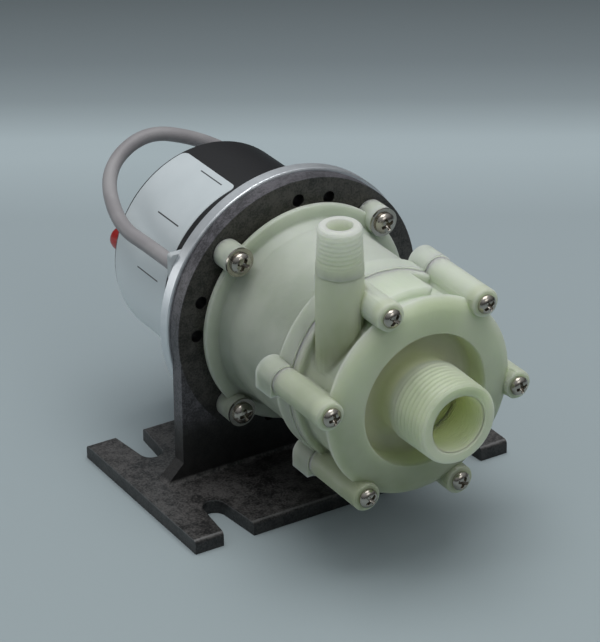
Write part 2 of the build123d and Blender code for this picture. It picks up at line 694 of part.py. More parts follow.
def bell_housing():
    """The moulded bell between the bracket and the pump head, round the drive magnets."""
    front_rear = BELL_FRONT - BELL_FRONT_THICK
    ledge = BELL_FRONT - BELL_LEDGE
    bell = turned(
        (PLATE_BORE - FIT_GAP - BELL_REGISTER_WALL, -BELL_REGISTER),
        (PLATE_BORE - FIT_GAP, -BELL_REGISTER),
        (PLATE_BORE - FIT_GAP, 0),
        (BELL_SEAT_RADIUS, 0),
        (BELL_FLANGE_RADIUS, BELL_FLANGE_BEVEL),
        (BELL_FLANGE_RADIUS, BELL_FLANGE_THICK, 0.6),
        (BELL_RADIUS + 1.5, BELL_FLANGE_THICK + 0.6, 0.8),
        (BELL_RADIUS, BELL_SKIRT, 2.5),
        (BELL_RADIUS, front_rear, 0.5),
        (BELL_FRONT_RADIUS, front_rear, 0.4),
        (BELL_FRONT_RADIUS, BELL_FRONT, 0.2),
        (CUP_FLANGE_RADIUS + FIT_GAP, BELL_FRONT),
        (CUP_FLANGE_RADIUS + FIT_GAP, BELL_FRONT - CUP_FLANGE_THICK),
        (BELL_LEDGE_BORE, BELL_FRONT - CUP_FLANGE_THICK),
        (BELL_LEDGE_BORE, ledge),
        (BELL_BORE, ledge, 1.0),
        (BELL_BORE, BELL_LIP),
        (PLATE_BORE - FIT_GAP - BELL_REGISTER_WALL, BELL_LIP),
    )
    for angle in FACE_BOLT_ANGLES:
        ear = pillar(EAR_RADIUS, FACE_BOLT_RADIUS, angle, 0, EAR_THICK)
        bell += fillet(ear.edges().filter_by(GeomType.CIRCLE), 0.5)
        bell -= pillar(FACE_SCREW_HOLE, FACE_BOLT_RADIUS, angle, -1, EAR_THICK + 1)
    lugs = [lug(angle) for angle in COVER_SCREW_ANGLES]
    inside = rod(BELL_RADIUS - 1, LUG_REAR - 1, BELL_FRONT + 1)
    for angle, solid in zip(COVER_SCREW_ANGLES, lugs):
        bell += solid - inside
        bell -= pillar(SCREW_HOLE, COVER_SCREW_CIRCLE, angle, LUG_REAR - 1, BELL_FRONT + 1)
        bell -= nut_pocket(angle, NUT_FLATS + 2 * NUT_POCKET_GAP, NUT_THICK)
    return bell


def isolation_cup():
    """The sealed cup between the drive magnets and the liquid, with the spindle's rear seat."""
    cup = turned(
        (0, CUP_FLOOR),
        (CUP_RADIUS, CUP_FLOOR, 2.5),
        (CUP_RADIUS, BELL_FRONT - CUP_FLANGE_THICK),
        (CUP_FLANGE_RADIUS, BELL_FRONT - CUP_FLANGE_THICK),
        (CUP_FLANGE_RADIUS, BELL_FRONT),
        (CUP_BORE, BELL_FRONT),
        (CUP_BORE, CUP_INSIDE, 1.0),
        (SPINDLE_BOSS_RADIUS, CUP_INSIDE),
        (SPINDLE_BOSS_RADIUS, SPINDLE_BOSS_END),
        (0, SPINDLE_BOSS_END),
    )
    return cup - rod(SPINDLE_HOLE, CUP_INSIDE - SPINDLE_SEAT, SPINDLE_BOSS_END + 1)


def volute_chamber():
    """The space round the impeller: three quarter turns of growing radius, then up to the outlet."""
    plan = Circle(VOLUTE_RADIUS)
    x, y, radius = 0.0, 0.0, VOLUTE_RADIUS
    steps = ((1, 1, -1, 0), (1, -1, 0, 1), (-1, -1, 0, 0))
    for right, up, shift_x, shift_y in steps:
        corner = (Align.MIN if right > 0 else Align.MAX, Align.MIN if up > 0 else Align.MAX)
        quarter = Pos(x, y) * Circle(radius) & Pos(x, y) * Rectangle(radius, radius, align=corner)
        plan += quarter
        if (shift_x, shift_y) != (0, 0):
            x += shift_x * VOLUTE_GROWTH
            y += shift_y * VOLUTE_GROWTH
            radius += VOLUTE_GROWTH
    throat = VOLUTE_RADIUS * sin(acos((-OUTLET_X - OUTLET_BORE) / VOLUTE_RADIUS))
    discharge = Polyline(
        (x - radius, y),
        (OUTLET_X - OUTLET_BORE, throat + OUTLET_BORE),
        (OUTLET_X + OUTLET_BORE, throat + OUTLET_BORE),
        (OUTLET_X + OUTLET_BORE, y),
        close=True,
    )
    plan += make_face(discharge)
    return FRONT * Pos(0, 0, VOLUTE_REAR) * extrude(plan, VOLUTE_FRONT - VOLUTE_REAR)


def outlet_pipe():
    """The upright outlet on the left of the volute, with its male pipe thread left plain."""
    bottom = Pos(OUTLET_X, -OUTLET_STATION, AXIS_HEIGHT)
    neck = OUTLET_TOP - OUTLET_THREAD_LENGTH - AXIS_HEIGHT
    pipe = Cylinder(OUTLET_PIPE_RADIUS, neck, align=UPWARDS)
    step = OUTLET_PIPE_RADIUS - OUTLET_THREAD_RADIUS
    pipe = chamfer(pipe.edges().sort_by(Axis.Z)[-1], 2 * step, step * 0.9)
    thread = Pos(0, 0, neck) * Cylinder(OUTLET_THREAD_RADIUS, OUTLET_THREAD_LENGTH, align=UPWARDS)
    thread = chamfer(thread.edges().sort_by(Axis.Z)[-1], PORT_CHAMFER)
    return bottom * (pipe + thread)


def spider():
    """The three ribs across the eye that hold the front end of the spindle."""
    hub = rod(SPIDER_HUB_RADIUS, SPIDER_REAR, EYE_DEPTH)
    for i in range(SPIDER_RIB_COUNT):
        angle = 90 + 360 / SPIDER_RIB_COUNT * i
        hub += spoke(SPIDER_RIB, 0, EYE_BORE + 1, angle, VOLUTE_FRONT, EYE_DEPTH)
    return hub - rod(SPINDLE_HOLE, SPIDER_REAR - 1, SPINDLE_END + FIT_GAP)


def pump_cover():
    """The moulded front of the pump: volute, screw bosses, recessed face, inlet and outlet."""
    ring_rear = COVER_FACE - COVER_RING
    thread_start = INLET_END - INLET_THREAD_LENGTH
    body = turned(
        (0, BELL_FRONT),
        (COVER_REAR_RADIUS, BELL_FRONT, 0.2),
        (COVER_REAR_RADIUS, BELL_FRONT + COVER_REAR_THICK, 0.8),
        (COVER_BODY_RADIUS, BELL_FRONT + COVER_REAR_THICK, 0.8),
        (COVER_BODY_RADIUS, ring_rear, 0.8),
        (COVER_RADIUS, ring_rear, 0.4),
        (COVER_RADIUS, COVER_FACE, COVER_SHOULDER),
        (RECESS_RADIUS, COVER_FACE, 0.4),
        (RECESS_RADIUS - RECESS_DRAFT, RECESS_FLOOR, 2.0),
        (INLET_NECK_RADIUS, RECESS_FLOOR, 4.0),
        (INLET_NECK_RADIUS, thread_start - 0.8),
        (INLET_THREAD_RADIUS, thread_start),
        (INLET_THREAD_RADIUS, INLET_END - PORT_CHAMFER),
        (INLET_THREAD_RADIUS - PORT_CHAMFER, INLET_END),
        (0, INLET_END),
    )
    boss_circle = COVER_SCREW_CIRCLE
    web_inner = COVER_BODY_RADIUS - COVER_NECKING
    web_front = ring_rear + COVER_RING / 4
    for angle in COVER_SCREW_ANGLES:
        boss = pillar(BOSS_RADIUS, boss_circle, angle, BELL_FRONT, BOSS_FACE)
        body += fillet(boss.edges().sort_by(Axis.Y)[0], 0.9)
        body += spoke(BOSS_WEB, web_inner, boss_circle, angle, BELL_FRONT, web_front)
    pad_sweep = COVER_SCREW_ANGLES[2] - COVER_PAD_ANGLE
    pad = sector(COVER_REAR_RADIUS, web_inner, COVER_PAD_ANGLE, pad_sweep, BELL_FRONT, COVER_PAD_FRONT)
    body += fillet(pad.edges().filter_by(Axis.Y).sort_by(Axis.Z)[-2:], COVER_PAD_EDGE)
    body += outlet_pipe()
    body -= volute_chamber()
    body -= rod(VOLUTE_RADIUS, BELL_FRONT - 1, VOLUTE_REAR + 1)
    groove_outer = RING_GROOVE_INNER + RING_GROOVE_WIDTH
    body -= ring(groove_outer, RING_GROOVE_INNER, BELL_FRONT - 0.01, BELL_FRONT + RING_GROOVE_DEPTH)
    body -= turned(
        (0, VOLUTE_FRONT - 1),
        (EYE_BORE, VOLUTE_FRONT - 1),
        (EYE_BORE, EYE_DEPTH),
        (INLET_BORE, EYE_DEPTH + EYE_CONE),
        (INLET_BORE, INLET_END - MOUTH_CHAMFER),
        (INLET_BORE + MOUTH_CHAMFER + 1, INLET_END + 1),
        (0, INLET_END + 1),
    )
    outlet_bottom = Pos(OUTLET_X, -OUTLET_STATION, AXIS_HEIGHT + VOLUTE_RADIUS / 2)
    body -= outlet_bottom * Cylinder(OUTLET_BORE, OUTLET_TOP, align=UPWARDS)
    for solid in pillars(SCREW_HOLE, boss_circle, COVER_SCREW_ANGLES, BELL_FRONT - 1, BOSS_FACE + 1):
        body -= solid
    return body + spider()


def seal_ring():
    """The round rubber ring in the cover's groove."""
    middle = RING_GROOVE_INNER + RING_GROOVE_WIDTH / 2
    radius = RING_GROOVE_DEPTH / 2
    section = Pos(middle, BELL_FRONT + radius) * Circle(radius)
    return TURNING * revolve(section, Axis.Y)


def vane(angle):
    """One backward curved vane that stands on the impeller's shroud."""
    tip = IMPELLER_RADIUS - VANE_THICK / 3
    middle = (VANE_INNER + tip) / 2
    curve = ThreePointArc(
        (VANE_INNER, 0),
        (middle * cos(radians(VANE_SWEEP * 0.36)), middle * sin(radians(VANE_SWEEP * 0.36))),
        (tip * cos(radians(VANE_SWEEP)), tip * sin(radians(VANE_SWEEP))),
    )
    blade = trace(curve, line_width=VANE_THICK) & Circle(IMPELLER_RADIUS)
    root = SHROUD_END - SHROUD_THICK / 20
    return FRONT * Rot(0, 0, angle) * Pos(0, 0, root) * extrude(blade, VANE_END - root)


def impeller():
    """The impeller and the sealed capsule behind it, moulded round the driven magnet."""
    body = turned(
        (BUSHING_RADIUS + FIT_GAP, CAPSULE_START),
        (CAPSULE_RADIUS, CAPSULE_START, 1.5),
        (CAPSULE_RADIUS, SHROUD_START),
        (IMPELLER_RADIUS, SHROUD_START),
        (IMPELLER_RADIUS, SHROUD_END),
        (IMPELLER_HUB, SHROUD_END, 1.2),
        (IMPELLER_HUB, VANE_END, 0.6),
        (BUSHING_RADIUS + FIT_GAP, VANE_END),
    )
    for i in range(VANE_COUNT):
        body += vane(360 / VANE_COUNT * i)
    room = ring(
        CAPSULE_RADIUS - DRIVEN_MAGNET_SKIN + FIT_GAP,
        CAPSULE_RADIUS - DRIVEN_MAGNET_SKIN - DRIVEN_MAGNET_THICK - FIT_GAP,
        CAPSULE_START + DRIVEN_MAGNET_SKIN - FIT_GAP,
        SHROUD_START - DRIVEN_MAGNET_SKIN + FIT_GAP,
    )
    return body - room


def driven_magnet():
    """The ring magnet inside the impeller's capsule."""
    outer = CAPSULE_RADIUS - DRIVEN_MAGNET_SKIN
    start = CAPSULE_START + DRIVEN_MAGNET_SKIN
    return ring(outer, outer - DRIVEN_MAGNET_THICK, start, SHROUD_START - DRIVEN_MAGNET_SKIN)


def bushing():
    """The carbon bushing that the impeller turns on."""
    return ring(BUSHING_RADIUS, SPINDLE_RADIUS + SHAFT_GAP, CAPSULE_START, VANE_END)


def spindle():
    """The fixed ceramic spindle between the isolation cup and the cover's spider."""
    bar = rod(SPINDLE_RADIUS, SPINDLE_START, SPINDLE_END)
    return chamfer(bar.edges().filter_by(GeomType.CIRCLE), 0.4)


def thrust_washers():
    """The ceramic washers in front of the impeller and behind it."""
    inner = SPINDLE_HOLE
    front = SPIDER_REAR - THRUST_THICK
    return [
        ring(THRUST_RADIUS, inner, SPINDLE_BOSS_END, SPINDLE_BOSS_END + THRUST_THICK),
        ring(THRUST_RADIUS, inner, front, SPIDER_REAR),
    ]


def cover_screws():
    """Six long screws that hold the cover on the bell."""
    return [
        screw(
            COVER_SCREW_CIRCLE,
            angle,
            BOSS_FACE,
            COVER_SCREW_LENGTH,
            SCREW_RADIUS,
            HEAD_RADIUS,
            HEAD_HEIGHT,
        )
        for angle in COVER_SCREW_ANGLES
    ]


def cover_nuts():
    """Six nuts in the pockets of the bell's lugs."""
    return [
        nut_pocket(angle, NUT_FLATS, NUT_THICK)
        - pillar(SCREW_RADIUS + FIT_GAP, COVER_SCREW_CIRCLE, angle, LUG_REAR - 1, BELL_FRONT)
        for angle in COVER_SCREW_ANGLES
    ]


def bell_screws():
    """Four screws through the bell's ears and the bracket plate into the motor flange."""
    length = WASHER_SEAT + PLATE_THICK + FLANGE_THICK - 0.8
    return [
        screw(
            FACE_BOLT_RADIUS,
            angle,
            WASHER_SEAT,
            length,
            FACE_SCREW_RADIUS,
            FACE_HEAD_RADIUS,
            FACE_HEAD_HEIGHT,
        )
        for angle in FACE_BOLT_ANGLES
    ]


def bell_washers():
    """The washers under those four screws."""
    return [
        pillar(WASHER_RADIUS, FACE_BOLT_RADIUS, angle, EAR_THICK, WASHER_SEAT)
        - pillar(FACE_SCREW_HOLE, FACE_BOLT_RADIUS, angle, EAR_THICK - 1, WASHER_SEAT + 1)
        for angle in FACE_BOLT_ANGLES
    ]


def cable_gland():
    """The block on the back of the motor flange that the cable comes out of."""
    height = GLAND_ABOVE + GLAND_BELOW
    corner = Pos(CABLE_X, -FLANGE_REAR, CABLE_Z - GLAND_BELOW)
    block = corner * Box(GLAND_WIDTH, GLAND_THICK, height, align=(Align.CENTER, Align.MIN, Align.MIN))
    block = fillet(block.edges().filter_by(Axis.Y), 1.0)
    hole = Cylinder(CABLE_RADIUS - FIT_GAP, GLAND_THICK + 2)
    return block - Pos(CABLE_X, -FLANGE_REAR, CABLE_Z) * Rot(90, 0, 0) * hole


def cable_coil():
    """The outer shape of the cable's put-away turns."""
    half = CABLE_RADIUS + COIL_SLACK
    outer = Cylinder(COIL_RADIUS + half, COIL_HEIGHT, align=UPWARDS)
    inner = Cylinder(COIL_RADIUS - half, COIL_HEIGHT * 3)
    return Pos(COIL_X, COIL_Y, 0) * (outer - inner)


def route_radii(points):
    """The largest arc that the two runs beside each corner of the route allow."""
    radii = []
    for before, corner, after in zip(points, points[1:], points[2:]):
        run_in = Vector(*corner) - Vector(*before)
        run_out = Vector(*after) - Vector(*corner)
        shorter = min(run_in.length, run_out.length)
        radii.append(0.45 * shorter / tan(radians(run_in.get_angle(run_out)) / 2))
    return radii


def cable_run():
    """The cable from the gland to its coil: straight runs joined by tangent arcs."""
    radii = route_radii(CABLE_ROUTE)
    path = FilletPolyline(*CABLE_ROUTE, radius=radii)
    print("cable bend radii", [round(radius, 1) for radius in radii])
    section = Plane(origin=path @ 0, z_dir=path % 0) * Circle(CABLE_RADIUS)
    tube = sweep(section, path=path)
    print("cable volume", round(tube.volume), "section times length", round(section.area * path.length))
    return tube - cable_coil()


def tail_end():
    """The middle of the free end's sleeve, where the conductors come out."""
    return Vector(COIL_X - TAIL_REACH, COIL_Y - COIL_RADIUS, CABLE_RADIUS + TAIL_SLEEVE_WALL)


def cable_sleeve():
    """The shrink sleeve on the cable's free end, where it leaves the coil."""
    sleeve = Cylinder(CABLE_RADIUS + TAIL_SLEEVE_WALL, TAIL_REACH, align=UPWARDS)
    return Pos(*tail_end()) * Rot(0, 90, 0) * sleeve - cable_coil()


def lead_wires():
    """The bare ends of the cable's conductors, fanned out on the surface that the pump stands on."""
    wires = []
    for i in range(LEAD_COUNT):
        angle = radians(90 + 360 / LEAD_COUNT * i)
        circle = (CABLE_RADIUS - LEAD_RADIUS) * 0.95
        start = tail_end() + Vector(0, circle * cos(angle), circle * sin(angle))
        end = tail_end() + Vector(-LEAD_LENGTH, LEAD_FAN * cos(angle) / cos(radians(18)), 0)
        end.Z = LEAD_RADIUS
        disc = Plane(origin=start, z_dir=(-1, 0, 0)) * Circle(LEAD_RADIUS)
        wires.append(extrude(disc, (end - start).length, dir=(end - start).normalized()))
    return wires


PIECES = {
    "foot_bracket": foot_bracket,
    "motor_flange": motor_flange,
    "motor_can": motor_can,
    "motor_label": motor_label,
    "rear_cover": rear_cover,
    "rear_cap": rear_cap,
    "tie_bolts": tie_bolts,
    "motor_bearings": lambda: [bearing(FRONT_BEARING), bearing(REAR_BEARING)],
    "preload_washer": preload_washer,
    "motor_shaft": motor_shaft,
    "rotor_core": rotor_core,
    "rotor_magnets": lambda: magnet_ring(
        ROTOR_CORE_RADIUS, ROTOR_RADIUS, ROTOR_MAGNET_COUNT, STATOR_REAR, STATOR_FRONT
    ),
    "stator_core": stator_core,
    "windings": windings,
    "circuit_board": circuit_board,
    "board_spacers": board_spacers,
    "board_chips": board_chips,
    "drive_hub": drive_hub,
    "drive_magnets": lambda: magnet_ring(
        DRIVE_MAGNET_INNER,
        DRIVE_MAGNET_INNER + DRIVE_MAGNET_THICK,
        DRIVE_MAGNET_COUNT,
        DRIVE_WEB_END + FACE_GAP,
        DRIVE_RIM_END - FACE_GAP,
    ),
    "set_screws": lambda: [set_screw(angle, SET_SCREW_RADIUS, HUB_RADIUS - 0.3) for angle in (90, 180)],
    "bell_housing": bell_housing,
    "isolation_cup": isolation_cup,
    "pump_cover": pump_cover,
    "seal_ring": seal_ring,
    "impeller": impeller,
    "driven_magnet": driven_magnet,
    "bushing": bushing,
    "spindle": spindle,
    "thrust_washers": thrust_washers,
    "cover_screws": cover_screws,
    "cover_nuts": cover_nuts,
    "bell_screws": bell_screws,
    "bell_washers": bell_washers,
    "cable_gland": cable_gland,
    "cable": cable_run,
    "cable_coil": cable_coil,
    "cable_sleeve": cable_sleeve,
    "lead_wires": lead_wires,
}

os.makedirs("parts", exist_ok=True)
for name, build in PIECES.items():
    made = build()
    write(name, *(made if isinstance(made, list) else [made]))
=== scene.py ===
"""A magnetic drive pump: a natural polypropylene pump head on a black foot bracket, with its motor behind.

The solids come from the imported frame. Here they get their finishes, and the pieces that a plain solid can't
show are made anew: the cable with its coil, the wound label, the domed cap, the cover with its falling face
ring, the pipe threads and the screws.
Metres, Z up; the pump axis runs along Y and the inlet looks towards -Y.
"""

from math import cos, pi, radians, sin

import bmesh
import bpy
import numpy as np
from mathutils import Matrix, Vector


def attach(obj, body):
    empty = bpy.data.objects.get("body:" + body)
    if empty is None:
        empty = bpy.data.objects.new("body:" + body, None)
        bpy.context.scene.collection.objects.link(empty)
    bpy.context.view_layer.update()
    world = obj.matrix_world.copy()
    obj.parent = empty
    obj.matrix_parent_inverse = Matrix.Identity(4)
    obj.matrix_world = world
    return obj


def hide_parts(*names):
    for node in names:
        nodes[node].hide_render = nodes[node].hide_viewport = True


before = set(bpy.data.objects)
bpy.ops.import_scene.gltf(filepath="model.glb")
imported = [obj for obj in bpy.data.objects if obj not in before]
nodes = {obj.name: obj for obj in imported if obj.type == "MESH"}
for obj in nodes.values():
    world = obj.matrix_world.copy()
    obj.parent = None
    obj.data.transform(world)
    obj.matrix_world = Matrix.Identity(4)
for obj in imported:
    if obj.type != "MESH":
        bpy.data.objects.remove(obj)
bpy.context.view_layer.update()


# ---- Camera ------------------------------------------------------------------------------------------
# A long lens looks down on the pump from the front left. Its place and turn were worked out from the
# pipe mouths, screws and foot of the photograph.

CAMERA_PLACE = (-0.45327, -0.73452, 0.50235)
CAMERA_RIGHT = (0.84939403, -0.52773479, -0.005076)
CAMERA_UP = (0.24881217, 0.39194638, 0.88570342)
CAMERA_BACK = (-0.46542699, -0.75357417, 0.46422375)
FOCAL_PIXELS = 3073.73
PICTURE_WIDTH = 600
SENSOR_WIDTH = 36.0

lens = bpy.data.cameras.new("camera")
lens.sensor_fit = "HORIZONTAL"
lens.sensor_width = SENSOR_WIDTH
lens.lens = SENSOR_WIDTH * FOCAL_PIXELS / PICTURE_WIDTH
lens.clip_start = 0.05
camera = bpy.data.objects.new("camera", lens)
turn = Matrix((CAMERA_RIGHT, CAMERA_UP, CAMERA_BACK)).transposed().to_4x4()
camera.matrix_world = Matrix.Translation(CAMERA_PLACE) @ turn
bpy.context.scene.collection.objects.link(camera)
bpy.context.scene.camera = camera
bpy.context.scene.view_settings.view_transform = "Standard"


# ---- Cable ---------------------------------------------------------------------------------------------
# A limp grey multicore cable, 4.8 mm thick, leaves the block behind the motor's flange, rises over the
# motor and drops behind it. Its unseen end lies there in a neat coil of one and three quarter turns.


def seen(red, green, blue):
    """A colour given by the 0 to 255 values that it shows on a screen."""
    values = np.array([red, green, blue]) / 255
    linear = np.where(values > 0.04045, ((values + 0.055) / 1.055) ** 2.4, values / 12.92)
    return (*linear.tolist(), 1.0)


class Wire:
    """An output socket of a finish's nodes; sums and products of wires add Math nodes."""

    def __init__(self, socket):
        self.socket = socket

    def node(self, kind, settings=None, sockets=None, output=0):
        """A node beside this one: its settings are set first, then its sockets are filled or linked."""
        tree = self.socket.id_data
        made = tree.nodes.new(kind)
        for name, value in (settings or {}).items():
            if name == "stops":
                ramp = made.color_ramp.elements
                while len(ramp) < len(value):
                    ramp.new(0.5)
                for stop, (place, colour) in zip(ramp, value):
                    stop.position = place
                    stop.color = colour
            else:
                setattr(made, name, value)
        for name, value in (sockets or {}).items():
            if isinstance(value, Wire):
                tree.links.new(value.socket, made.inputs[name])
            else:
                made.inputs[name].default_value = value
        return Wire(made.outputs[output])

    def math(self, operation, *others):
        """A Math node on this wire and up to two more values or wires."""
        return self.node("ShaderNodeMath", {"operation": operation}, dict(enumerate((self, *others))))

    def __add__(self, other):
        return self.math("ADD", other)

    def __sub__(self, other):
        return self.math("SUBTRACT", other)

    def __mul__(self, other):
        return self.math("MULTIPLY", other)

    def __truediv__(self, other):
        return self.math("DIVIDE", other)

    def __rsub__(self, other):
        return (self * -1.0) + other

    __radd__ = __add__
    __rmul__ = __mul__

    def between(self, low, high):
        """A smooth step that is 0 below low and 1 above high, or the other way round."""
        settings = {"interpolation_type": "SMOOTHSTEP"}
        return self.node("ShaderNodeMapRange", settings, {"Value": self, "From Min": low, "From Max": high})

    def mix(self, colour_off, colour_on):
        """One colour where this wire is 0, the other where it is 1."""
        return self.node(
            "ShaderNodeMix", {"data_type": "RGBA"}, {0: self, 6: colour_off, 7: colour_on}, output=2
        )


class Finish:
    """One material: a Principled shader whose sockets are numbers or wires that read Object coordinates."""

    def __init__(self, name):
        self.material = bpy.data.materials.new(name)
        self.material.use_nodes = True
        self.tree = self.material.node_tree
        self.shader = self.tree.nodes["Principled BSDF"]
        self.place = Wire(self.tree.nodes.new("ShaderNodeTexCoord").outputs["Object"])

    def axes(self):
        """The X, Y and Z of the surface's place."""
        split = self.tree.nodes.new("ShaderNodeSeparateXYZ")
        self.tree.links.new(self.place.socket, split.inputs[0])
        return [Wire(socket) for socket in split.outputs]

    def noise(self, per_metre, detail=2.0, roughness=0.5):
        """Fractal noise of 0 to 1, with about so many grains in a metre."""
        sockets = {"Vector": self.place, "Scale": per_metre, "Detail": detail, "Roughness": roughness}
        return self.place.node("ShaderNodeTexNoise", None, sockets)

    def bump(self, height, distance, strength=1.0):
        """Relief from a wire of heights; distance is what a height of 1 stands for, in metres."""
        sockets = {"Height": height, "Distance": distance, "Strength": strength}
        self.set(Normal=height.node("ShaderNodeBump", None, sockets))

    def set(self, **sockets):
        """Fills or links the shader's sockets; a name's underscores are spaces."""
        for name, value in sockets.items():
            socket = self.shader.inputs[name.replace("_", " ")]
            if isinstance(value, Wire):
                self.tree.links.new(value.socket, socket)
            else:
                socket.default_value = value

    def dress(self, *names):
        """Gives these CAD nodes this finish in place of their own."""
        for name in names:
            mesh = nodes[name].data
            if not mesh.materials:
                mesh.materials.append(self.material)
            for number in range(len(mesh.materials)):
                mesh.materials[number] = self.material


jacket = Finish("cable_jacket")
smudges = jacket.noise(90, 3)
jacket.set(
    Base_Color=smudges.between(0.3, 0.7).mix(seen(142, 139, 141), seen(156, 154, 155)),
    Roughness=smudges * 0.12 + 0.42,
    Specular_IOR_Level=0.45,
)
jacket.bump(jacket.noise(1500, 2), 0.00006, 0.5)

CABLE_DIAMETER = 0.0048
CABLE_EXIT = (-0.036, 0.0122, 0.073)
CABLE_ROUTE = [
    CABLE_EXIT,
    (-0.036, 0.029, 0.073),
    (-0.0392, 0.046, 0.075),
    (-0.0301, 0.0709, 0.0822),
    (-0.0131, 0.075, 0.0906),
    (0.0031, 0.0696, 0.0867),
    (0.0195, 0.0683, 0.076),
    (0.023, 0.070, 0.054),
    (0.021, 0.0715, 0.034),
    (0.0196, 0.082, 0.0175),
]
COIL_MIDDLE = (0.046, 0.097)
COIL_RADIUS = 0.0264
COIL_STEPS = 16
COIL_UPPER = 0.0073
COIL_LOWER = 0.00245
FALL_START = 0.72
CABLE_TAIL = [(0.034, 0.0706, 0.00255), (0.019, 0.0706, 0.00265)]

# The coil runs clockwise as seen from above, one turn and three quarters of the next, which lies under it.
# Its control points stand off a little, so that the curve between them keeps the coil's radius.
coil_reach = COIL_RADIUS / (0.75 + 0.25 * cos(2 * pi / COIL_STEPS))
coil_points = []
for step in range(COIL_STEPS * 7 // 4 + 1):
    angle = pi - 2 * pi * step / COIL_STEPS
    fall = min(max((step / COIL_STEPS - FALL_START) / (1 - FALL_START), 0.0), 1.0)
    height = COIL_UPPER + (COIL_LOWER - COIL_UPPER) * fall
    coil_points.append(
        (COIL_MIDDLE[0] + coil_reach * cos(angle), COIL_MIDDLE[1] + coil_reach * sin(angle), height)
    )

line = bpy.data.curves.new("cable_line", "CURVE")
line.dimensions = "3D"
spline = line.splines.new("NURBS")
route = CABLE_ROUTE + coil_points + CABLE_TAIL
spline.points.add(len(route) - 1)
for point, spot in zip(spline.points, route):
    point.co = (*spot, 1.0)
spline.order_u = 3
spline.use_endpoint_u = True
spline.resolution_u = 10
line.bevel_depth = CABLE_DIAMETER / 2
line.bevel_resolution = 6
line.use_fill_caps = True
line.materials.append(jacket.material)
cable = bpy.data.objects.new("grey_cable", line)
bpy.context.scene.collection.objects.link(cable)
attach(cable, "pump_body")
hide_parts("cable", "cable_coil")

# The heat shrunk sleeve on the free end and the five conductors that come out of it
sleeve = Finish("shrunk_sleeve")
sleeve.set(Base_Color=sleeve.noise(200, 2).mix(seen(26, 26, 27), seen(40, 40, 42)), Roughness=0.42)
sleeve.bump(sleeve.noise(700, 3), 0.0001, 0.6)
sleeve.dress("cable_sleeve")
leads = Finish("lead_insulation")
leads.set(Base_Color=leads.noise(60, 1).mix(seen(150, 34, 28), seen(178, 52, 40)), Roughness=0.35)
leads.bump(leads.noise(1200, 1), 0.00004, 0.5)
leads.dress("lead_wires")


# ---- Studio ----------------------------------------------------------------------------------------------
# A plain blue-grey table, whose colour holds a painted lighter band behind the pump and painted shade further
# back, a broad soft lamp above it, weaker ones in front and at the back left, and even grey light from all
# round.

FLOOR_HALF = 3.0
VIEW_ALONG = (0.5255, 0.8508)
DEPTH_START = -0.20
DEPTH_END = 0.60
# The table's colours by depth away from the camera: a painted lighter band, then painted shade further back
FLOOR_LIGHT_AND_SHADE = [
    (-0.20, seen(159, 171, 174)),
    (0.18, seen(159, 171, 175)),
    (0.235, seen(174, 187, 191)),
    (0.252, seen(173, 186, 190)),
    (0.29, seen(141, 152, 156)),
    (0.33, seen(121, 131, 135)),
    (0.40, seen(99, 108, 111)),
    (0.60, seen(88, 96, 98)),
]

floor_paper = Finish("floor_paper")
x, y, z = floor_paper.axes()
depth = x * VIEW_ALONG[0] + y * VIEW_ALONG[1]
share = (depth - DEPTH_START) / (DEPTH_END - DEPTH_START)
stops = [((place - DEPTH_START) / (DEPTH_END - DEPTH_START), colour) for place, colour in FLOOR_LIGHT_AND_SHADE]
floor_paper.set(
    Base_Color=share.node("ShaderNodeValToRGB", {"stops": stops}, {0: share}),
    Roughness=0.62,
    Specular_IOR_Level=0.25,
)
floor_mesh = bpy.data.meshes.new("floor")
corners = [(-1, -1), (1, -1), (1, 1), (-1, 1)]
floor_mesh.from_pydata([(FLOOR_HALF * a, FLOOR_HALF * b, 0) for a, b in corners], [], [(0, 1, 2, 3)])
floor_mesh.materials.append(floor_paper.material)
floor = bpy.data.objects.new("floor", floor_mesh)
bpy.context.scene.collection.objects.link(floor)

ROOM_BELOW = (0.05, 0.052, 0.055, 1.0)
ROOM_ABOVE = (0.46, 0.48, 0.50, 1.0)

world = bpy.data.worlds.new("soft_room")
world.use_nodes = True
tree = world.node_tree
split = tree.nodes.new("ShaderNodeSeparateXYZ")
tree.links.new(tree.nodes.new("ShaderNodeTexCoord").outputs["Generated"], split.inputs[0])
ceiling = Wire(split.outputs["Z"]).between(0.0, 1.0).mix(ROOM_BELOW, ROOM_ABOVE)
tree.links.new(ceiling.socket, tree.nodes["Background"].inputs["Color"])
tree.nodes["Background"].inputs["Strength"].default_value = 1.0
bpy.context.scene.world = world

LAMP_AIM = (0.0, -0.01, 0.05)


def soft_lamp(name, place, size, power):
    """A square soft box that looks at the middle of the pump."""
    lamp = bpy.data.lights.new(name, "AREA")
    lamp.size = size
    lamp.energy = power
    box = bpy.data.objects.new(name, lamp)
    aim = Vector(LAMP_AIM) - Vector(place)
    box.matrix_world = Matrix.Translation(place) @ aim.to_track_quat("-Z", "Y").to_matrix().to_4x4()
    bpy.context.scene.collection.objects.link(box)


soft_lamp("top_lamp", (0.02, 0.02, 1.25), 0.9, 8.4)
soft_lamp("front_lamp", (0.05, -1.0, 0.9), 0.6, 1.5)
soft_lamp("left_lamp", (-0.95, 0.75, 0.12), 0.5, 2.3)


# ---- Foot bracket ----------------------------------------------------------------------------------------
# Moulded in glass filled black plastic: a slotted base and an upright plate. The fibres show as a faint
# grey mottle. Painted highlights lie along the base's top edges and the plate's rim, and painted shade on the
# base's side faces, the plate's lower part and in its holes.

AXIS_HEIGHT = 0.055
FOOT_THICK = 0.0048
PLATE_BACK = 0.0053
RIM_RADIUS = 0.0440
HOLES_WITHIN = 0.0400


def from_axis(x, z):
    """The distance of a finish's place from the pump axis, the root of x squared and the rise squared."""
    rise = z - AXIS_HEIGHT
    return (x * x + rise * rise).math("SQRT")


